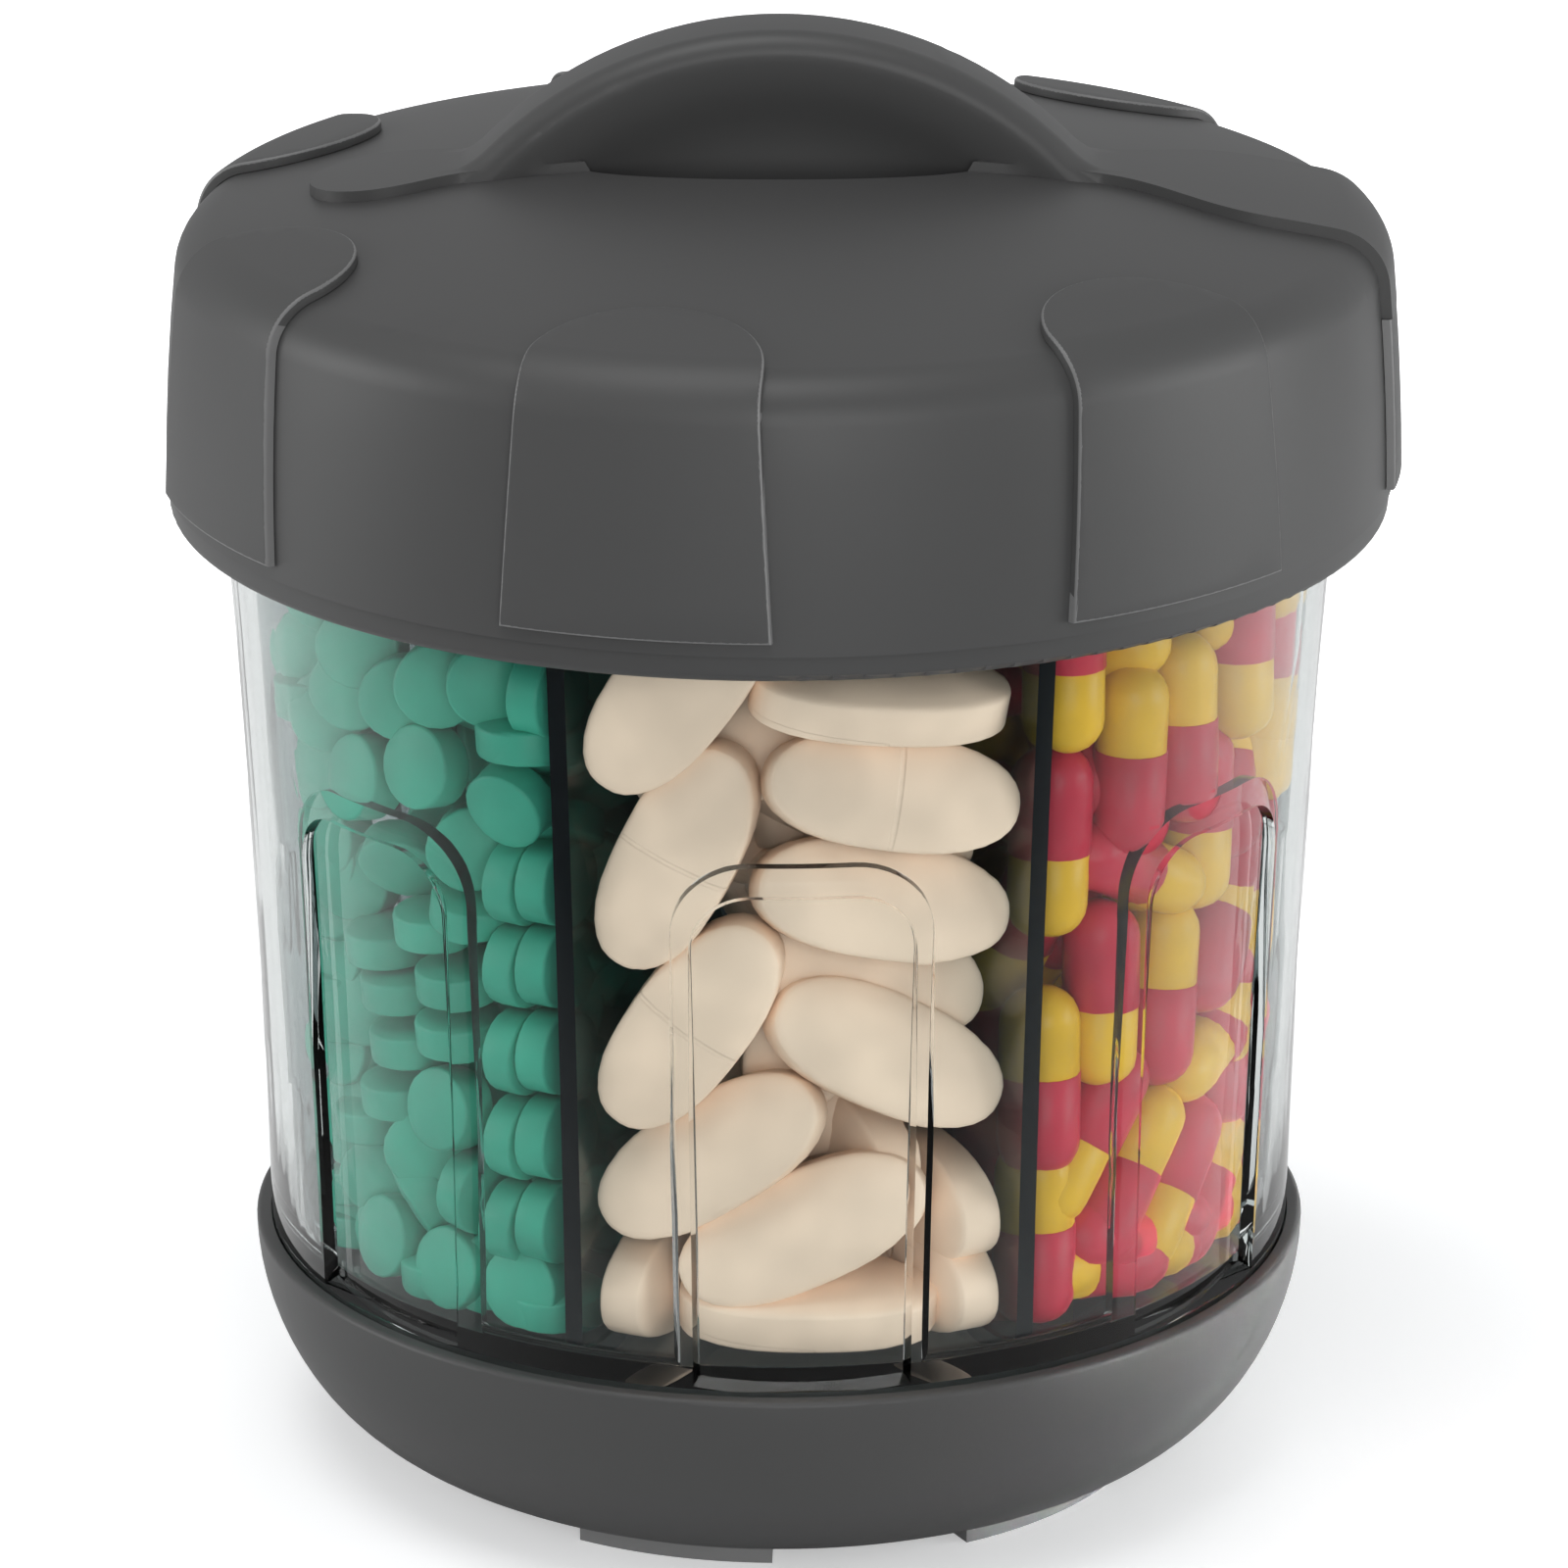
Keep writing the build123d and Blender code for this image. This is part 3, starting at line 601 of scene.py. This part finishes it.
def spread(name, shape, finish, places, turns):
    """One piece made of the shape at every place, riding on the canister's body."""
    mesh = bpy.data.meshes.new(name + "_points")
    mesh.from_pydata([tuple(float(v) * MM for v in p) for p in places], [], [])
    turn = mesh.attributes.new("turn", "FLOAT_VECTOR", "POINT")
    turn.data.foreach_set("vector", np.array(turns, float).ravel())
    carrier = bpy.data.objects.new(name + "_points", mesh)
    scene.collection.objects.link(carrier)
    modifier = carrier.modifiers.new("spread", "NODES")
    modifier.node_group = DOSE_TREE
    keys = {s.name: s.identifier for s in DOSE_TREE.interface.items_tree if s.in_out == "INPUT"}
    modifier[keys["Dose"]] = shape
    modifier[keys["Finish"]] = finish
    view = bpy.context.evaluated_depsgraph_get()
    solid = bpy.data.meshes.new_from_object(carrier.evaluated_get(view), depsgraph=view)
    made = bpy.data.objects.new(name, solid)
    scene.collection.objects.link(made)
    bpy.data.objects.remove(carrier)
    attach(made, "canister_body")
    print(name, len(places), "doses,", len(solid.polygons), "faces")
    return made


def turn_of(x_axis, z_axis):
    """Euler turn that takes the shape's X and Z to these directions."""
    z = unit(z_axis)
    x = unit(x_axis - z * float(x_axis @ z))
    columns = Matrix((x, np.cross(z, x), z)).transposed()
    return tuple(columns.to_euler())


print("tree inputs:", [s.name for s in DOSE_TREE.interface.items_tree])

# %% [markdown]
# The tablets and caplets have a film coat over a pressed core, and the capsules a gelatin
# shell. A coat gives a soft sheen on a colour that varies a little from dose to dose; gelatin
# is smoother and shines with small sharp lights. The caplets' coat sinks into a score line.

# %% Finishes of the doses
TONE_CLOUD_MM = 6
COAT_GRAIN_DEPTH_MM = 0.01
SCORE_DEPTH_MM = 0.12
SCORE_FLOOR_MM, SCORE_RIM_MM = 0.08, 0.3


def coated(name, colour, roughness, grain_mm, scored=False):
    """A coat whose tone drifts from dose to dose, with a score line across where asked."""
    material, tree = new_material(name)
    place = add(tree, "ShaderNodeTexCoord").outputs["Object"]
    cloud = add(tree, "ShaderNodeTexNoise", Vector=place, Scale=1 / (TONE_CLOUD_MM * MM), Detail=1.0)
    tone = add(tree, "ShaderNodeMapRange", Value=cloud.outputs["Fac"], From_Min=0.3, From_Max=0.7,
               To_Min=0.88, To_Max=1.06)
    shade = add(tree, "ShaderNodeHueSaturation", Color=linear(colour), Value=tone.outputs[0])
    grain = add(tree, "ShaderNodeTexNoise", Vector=place, Scale=1 / (grain_mm * MM), Detail=2.0)
    bump = add(tree, "ShaderNodeBump", Strength=0.25, Distance=COAT_GRAIN_DEPTH_MM * MM,
               Height=grain.outputs["Fac"])
    if scored:
        along = add(tree, "ShaderNodeAttribute", {"attribute_name": "along"}).outputs["Fac"]
        near = add(tree, "ShaderNodeMath", {"operation": "ABSOLUTE"}, i0=along)
        groove = add(tree, "ShaderNodeMapRange", SMOOTH, Value=near.outputs[0],
                     From_Min=SCORE_FLOOR_MM, From_Max=SCORE_RIM_MM)
        bump = add(tree, "ShaderNodeBump", Strength=0.8, Distance=SCORE_DEPTH_MM * MM,
                   Height=groove.outputs[0], Normal=bump.outputs[0])
    coat = add(tree, "ShaderNodeBsdfPrincipled", Base_Color=shade.outputs[0], Roughness=roughness,
               Normal=bump.outputs[0])
    coat.inputs["Specular IOR Level"].default_value = 0.35
    add(tree, "ShaderNodeOutputMaterial", Surface=coat.outputs[0])
    return material


green_coat = coated("green_film_coat", "#3ca28a", 0.45, 0.3)
ivory_coat = coated("ivory_film_coat", "#fbe0ca", 0.5, 0.3, scored=True)
red_gelatin = coated("red_gelatin", "#c03046", 0.28, 0.8)
yellow_gelatin = coated("yellow_gelatin", "#e0b02c", 0.28, 0.8)
print("coats:", [m.name for m in (green_coat, ivory_coat, red_gelatin, yellow_gelatin)])

# %% [markdown]
# How a dose lies is seen in the picture too. Its reach says how far it extends from its middle
# in a given direction, which is the room it needs to each side. The doses that can't be read
# one by one are dropped at random points, none nearer to another than a given gap.

# %% How a dose lies
LEAST_ACROSS = 0.3
TRIES_PER_DOSE = 60
LOOSE_LIFT = 2
PAD_ROUNDNESS = 0.93


def lying(px, py, angle, inset):
    """Place at the wall, and the direction in the wall that shows at this angle."""
    point = sight_to_wall(px, py, inset)
    azimuth = atan2(point[0], -point[1])
    side = along_wall(azimuth)
    a = radians(angle)
    across = cos(a) / max(float(side @ SIGHT_RIGHT), LEAST_ACROSS)
    rise = (sin(a) - across * float(side @ SIGHT_UP)) / float(UP @ SIGHT_UP)
    return point, unit(side * across + UP * rise), outward(azimuth)


def drum_reach(axis, radius, half):
    """A tablet's reach, as that of a plain drum about its axis."""
    return lambda d: radius * sqrt(max(1 - float(axis @ d) ** 2, 0.0)) + half * abs(float(axis @ d))


def rod_reach(axis, radius, half):
    """A capsule's reach, as that of a rod with round ends."""
    return lambda d: radius + (half - radius) * abs(float(axis @ d))


def pad_reach(axis, face):
    """A caplet's reach. Its ends and faces are rounder than those of a plain pad."""
    across = np.cross(axis, face)
    straight = CAPLET_HALF - CAPLET_R
    return lambda d: (straight * abs(float(axis @ d)) + CAPLET_THICK * abs(float(face @ d))
                      + CAPLET_R * sqrt(float(axis @ d) ** 2 + float(across @ d) ** 2)) * PAD_ROUNDNESS


def loose_fill(day, count, gap, taken, seed, least_radius, top, room=3):
    """Points in a compartment, no nearer to each other or to the taken ones than the gap.

    The random source comes back too, so that the ways these doses lie are drawn from it.
    """
    chance = np.random.default_rng(seed)
    chosen = [np.array(p) for p in taken]
    new = []
    for _ in range(count * TRIES_PER_DOSE):
        if len(new) == count:
            break
        azimuth = FRONT_DAY + day * DAY + chance.uniform(-0.5, 0.5) * DAY
        z = chance.uniform(FLOOR_TOP + LOOSE_LIFT, top)
        radius = chance.uniform(least_radius, wall_radius(z) - room)
        point = outward(azimuth) * radius + UP * z
        if all(np.linalg.norm(point - other) > gap for other in chosen):
            chosen.append(point)
            new.append(point)
    return new, chance


def any_way(chance, stretch=(1, 1, 1)):
    """A random direction, more or less often upright as the stretch says."""
    return unit(chance.normal(size=3) * stretch)


print("a level dose in front lies along", np.round(lying(AXIS_PIXEL, 1000, 0, 3)[1], 2))

# %% [markdown]
# The caplets come first. Each entry of the list has the middle of a caplet in the picture, the
# angle of its long side, anticlockwise from level, how it lies, and how far its middle is from
# the wall in millimetres. Most show a face, some lean or stand on edge, a few at the bottom lie
# flat, and a few show only an end. The last value says which face is turned to the front.

# %% Caplets in the middle compartment
FLAT, LEAN, EDGE, END, BOTTOM = "flat", "lean", "edge", "end", "bottom"
SCORED, PLAIN = 1, -1
LEAN_TIP, EDGE_TIP, BOTTOM_TIP = 0.3, 0.25, 0.2
CAPLETS = [
    (686, 694, 52, FLAT, 4.0, PLAIN), (896, 708, -2, EDGE, 5.5, PLAIN),
    (685, 871, 63, FLAT, 3.6, SCORED), (913, 807, -7, LEAN, 3.6, SCORED),
    (901, 918, -8, LEAN, 4.6, PLAIN), (902, 985, -12, LEAN, 9.5, PLAIN),
    (702, 1041, 53, FLAT, 3.8, SCORED), (906, 1076, -24, LEAN, 3.8, PLAIN),
    (725, 1180, 32, LEAN, 4.2, PLAIN), (853, 1150, 20, END, 16.0, PLAIN),
    (990, 1200, 0, END, 11.5, PLAIN), (990, 1300, 0, END, 11.5, PLAIN),
    (820, 1258, 24, LEAN, 3.6, PLAIN), (652, 1350, 0, END, 11.5, PLAIN),
    (826, 1390, 0, BOTTOM, 6.0, PLAIN), (772, 751, 20, LEAN, 10.5, PLAIN),
    (960, 1390, 10, BOTTOM, 16.0, PLAIN), (830, 1020, 70, FLAT, 10.5, PLAIN),
    (800, 1120, 10, LEAN, 15, PLAIN),
]


def caplet_ways(px, angle_way, away, how):
    """The long way of a caplet, and the way its face looks before it is squared to that."""
    if how == EDGE:
        return angle_way, np.cross(away, angle_way) + EDGE_TIP * away
    if how == LEAN:
        return angle_way, away + LEAN_TIP * np.cross(away, angle_way)
    if how == END:
        vane = FRONT_DAY + (DAY / 2 if px > AXIS_PIXEL else -DAY / 2)
        return outward(vane), along_wall(vane)
    if how == BOTTOM:
        return angle_way, UP + BOTTOM_TIP * away
    return angle_way, away


places, turns = [], []
for px, py, angle, how, inset, front in CAPLETS:
    point, angle_way, away = lying(px, py, angle, inset)
    long_way, face = caplet_ways(px, angle_way, away, how)
    face = unit(face - long_way * float(face @ long_way)) * front
    places.append(settle(point, 0, pad_reach(long_way, face)))
    turns.append(turn_of(long_way, face))
extra, chance = loose_fill(0, count=20, gap=9.0, taken=places, seed=11, least_radius=13, top=90, room=15)
for point in extra:
    long_way = any_way(chance, (1, 1, 0.6))
    face = unit(np.cross(long_way, chance.normal(size=3)))
    places.append(settle(point, 0, pad_reach(long_way, face)))
    turns.append(turn_of(long_way, face))
spread("caplets", caplet, ivory_coat, places, turns)

# %% [markdown]
# The capsules stand nearly upright at the vane and lie more loosely lower down. Each entry has
# the middle, the angle and which end is up. The red cap and the yellow body are two pieces on
# the same points, the body turned end for end.

# %% Capsules in the right compartment
RED_UP, YELLOW_UP = 1, -1
CAPSULE_INSET = 3.3
CAPSULE_SIDE = (0.3, 0.9, 0.2)
CAPSULES = [
    (1085, 666, 90, RED_UP), (1148, 771, 88, YELLOW_UP), (1198, 737, 90, YELLOW_UP),
    (1254, 655, 90, RED_UP), (1289, 734, 82, YELLOW_UP), (1325, 690, 90, RED_UP),
    (1077, 860, 88, RED_UP), (1160, 885, -20, YELLOW_UP), (1127, 1013, 90, RED_UP),
    (1189, 1010, 87, YELLOW_UP), (1226, 830, 88, RED_UP), (1254, 933, 75, YELLOW_UP),
    (1310, 857, 90, RED_UP), (1234, 1060, 48, RED_UP), (1281, 1010, 85, YELLOW_UP),
    (1284, 1172, 88, YELLOW_UP), (1070, 1103, 90, YELLOW_UP), (1112, 1157, 63, RED_UP),
    (1152, 1197, 66, YELLOW_UP), (1194, 1205, 69, RED_UP), (1224, 1225, 70, YELLOW_UP),
    (1065, 1292, 90, YELLOW_UP), (1149, 1345, -10, YELLOW_UP), (1250, 1290, 70, RED_UP),
    (1100, 1370, 5, RED_UP), (1225, 1330, 20, YELLOW_UP), (1285, 1290, 60, YELLOW_UP),
    (1342, 640, 90, RED_UP), (1335, 780, 88, YELLOW_UP), (1322, 950, 85, RED_UP),
    (1312, 1060, 88, YELLOW_UP), (1305, 1180, 85, RED_UP),
]
places, turns = [], []
for px, py, angle, top in CAPSULES:
    point, long_way, away = lying(px, py, angle, CAPSULE_INSET)
    red_end = long_way * top
    places.append(settle(point, 1, rod_reach(red_end, CAPSULE_R, CAPSULE_HALF)))
    turns.append(turn_of(away, red_end))
extra, chance = loose_fill(1, count=48, gap=6.6, taken=places, seed=23, least_radius=14, top=92)
for point in extra:
    red_end = any_way(chance, (0.6, 0.6, 1.0))
    places.append(settle(point, 1, rod_reach(red_end, CAPSULE_R, CAPSULE_HALF)))
    turns.append(turn_of(np.cross(red_end, CAPSULE_SIDE), red_end))
end_for_end = Matrix.Rotation(pi, 3, "X")
body_turns = [tuple((Euler(turn).to_matrix() @ end_for_end).to_euler()) for turn in turns]
spread("capsule_caps", capsule_cap, red_gelatin, places, turns)
spread("capsule_bodies", capsule_body, yellow_gelatin, places, body_turns)

# %% [markdown]
# The tablets show their face, or are turned half away, or lie level, or stand upright in two
# columns at the vane. Each entry has the middle, one of these four, and how far it is tipped
# in degrees.

# %% Tablets in the left compartment
FACE, TURNED, LEVEL, UPRIGHT = "face", "turned", "level", "upright"
LEVEL_TIP, FACE_TIP, HALF_TURN = 0.1, 0.15, 0.75
TABLET_INSET = 3.0
TABLET_SIDE = (0.2, 0.7, 0.68)
TABLETS = [
    (300, 667, LEVEL, 0), (310, 648, TURNED, 0), (368, 657, TURNED, 0), (285, 725, TURNED, 0),
    (362, 699, TURNED, 0), (338, 722, TURNED, 0), (411, 710, TURNED, 0), (446, 697, TURNED, 0),
    (498, 697, TURNED, 0), (551, 707, UPRIGHT, 0), (527, 749, LEVEL, 0), (381, 788, FACE, 0),
    (441, 778, FACE, 0), (525, 817, FACE, -25), (292, 820, TURNED, 0), (328, 794, TURNED, 0),
    (472, 867, TURNED, 0), (349, 896, TURNED, 0), (397, 877, TURNED, -40), (302, 914, TURNED, 0),
    (519, 904, UPRIGHT, 0), (552, 904, UPRIGHT, 0), (519, 988, UPRIGHT, 0), (552, 988, UPRIGHT, 0),
    (519, 1077, UPRIGHT, 0), (552, 1077, UPRIGHT, 0), (519, 1164, UPRIGHT, 0), (552, 1164, UPRIGHT, 0),
    (519, 1250, UPRIGHT, 0), (552, 1250, UPRIGHT, 0), (470, 930, LEVEL, -15), (431, 945, LEVEL, 0),
    (381, 961, LEVEL, 0), (318, 982, LEVEL, 0), (397, 1008, LEVEL, 0), (454, 1003, LEVEL, 0),
    (407, 1063, LEVEL, 0), (454, 1055, LEVEL, 0), (397, 1115, LEVEL, 0), (370, 1139, LEVEL, 0),
    (360, 1024, TURNED, 0), (305, 1066, TURNED, 0), (425, 1173, TURNED, 0), (378, 1199, TURNED, 0),
    (318, 1170, TURNED, 0), (342, 1265, TURNED, 0), (402, 1322, TURNED, 0), (475, 1217, UPRIGHT, 0),
    (457, 1129, FACE, 0), (402, 1259, FACE, 0), (466, 1301, FACE, 0), (537, 1339, FACE, 0),
    (262, 660, LEVEL, 0), (264, 730, TURNED, 0), (272, 800, TURNED, 0), (275, 870, TURNED, 30),
    (282, 950, LEVEL, 0), (286, 1010, TURNED, 0), (290, 1090, TURNED, 0), (296, 1150, LEVEL, 10),
    (302, 1230, TURNED, 0), (312, 1290, LEVEL, 0), (350, 1330, LEVEL, 0), (395, 1370, TURNED, 20),
    (440, 1385, LEVEL, 0), (492, 1390, TURNED, 0), (560, 1400, LEVEL, 0),
]


def tablet_axis(how, lean, side, away):
    """The way a tablet's flat face looks."""
    tip = tan(radians(lean))
    sideways = np.cross(UP, away)
    if how == LEVEL:
        return unit(UP + LEVEL_TIP * away - tip * side)
    if how == UPRIGHT:
        return unit(sideways + tip * UP)
    if how == TURNED:
        return unit(away + HALF_TURN * sideways + FACE_TIP * UP + tip * UP)
    return unit(away + FACE_TIP * UP + tip * UP)


places, turns = [], []
for px, py, how, lean in TABLETS:
    point, side, away = lying(px, py, 0, TABLET_INSET)
    axis = tablet_axis(how, lean, side, away)
    places.append(settle(point, -1, drum_reach(axis, TABLET_R, TABLET_HALF)))
    turns.append(turn_of(np.cross(axis, TABLET_SIDE), axis))
extra, chance = loose_fill(-1, count=130, gap=5.0, taken=places, seed=5, least_radius=13, top=93)
for point in extra:
    axis = any_way(chance)
    places.append(settle(point, -1, drum_reach(axis, TABLET_R, TABLET_HALF)))
    turns.append(turn_of(np.cross(axis, TABLET_SIDE), axis))
spread("tablets", tablet, green_coat, places, turns)
for shape in (tablet, caplet, capsule_cap, capsule_body):
    bpy.data.objects.remove(shape)
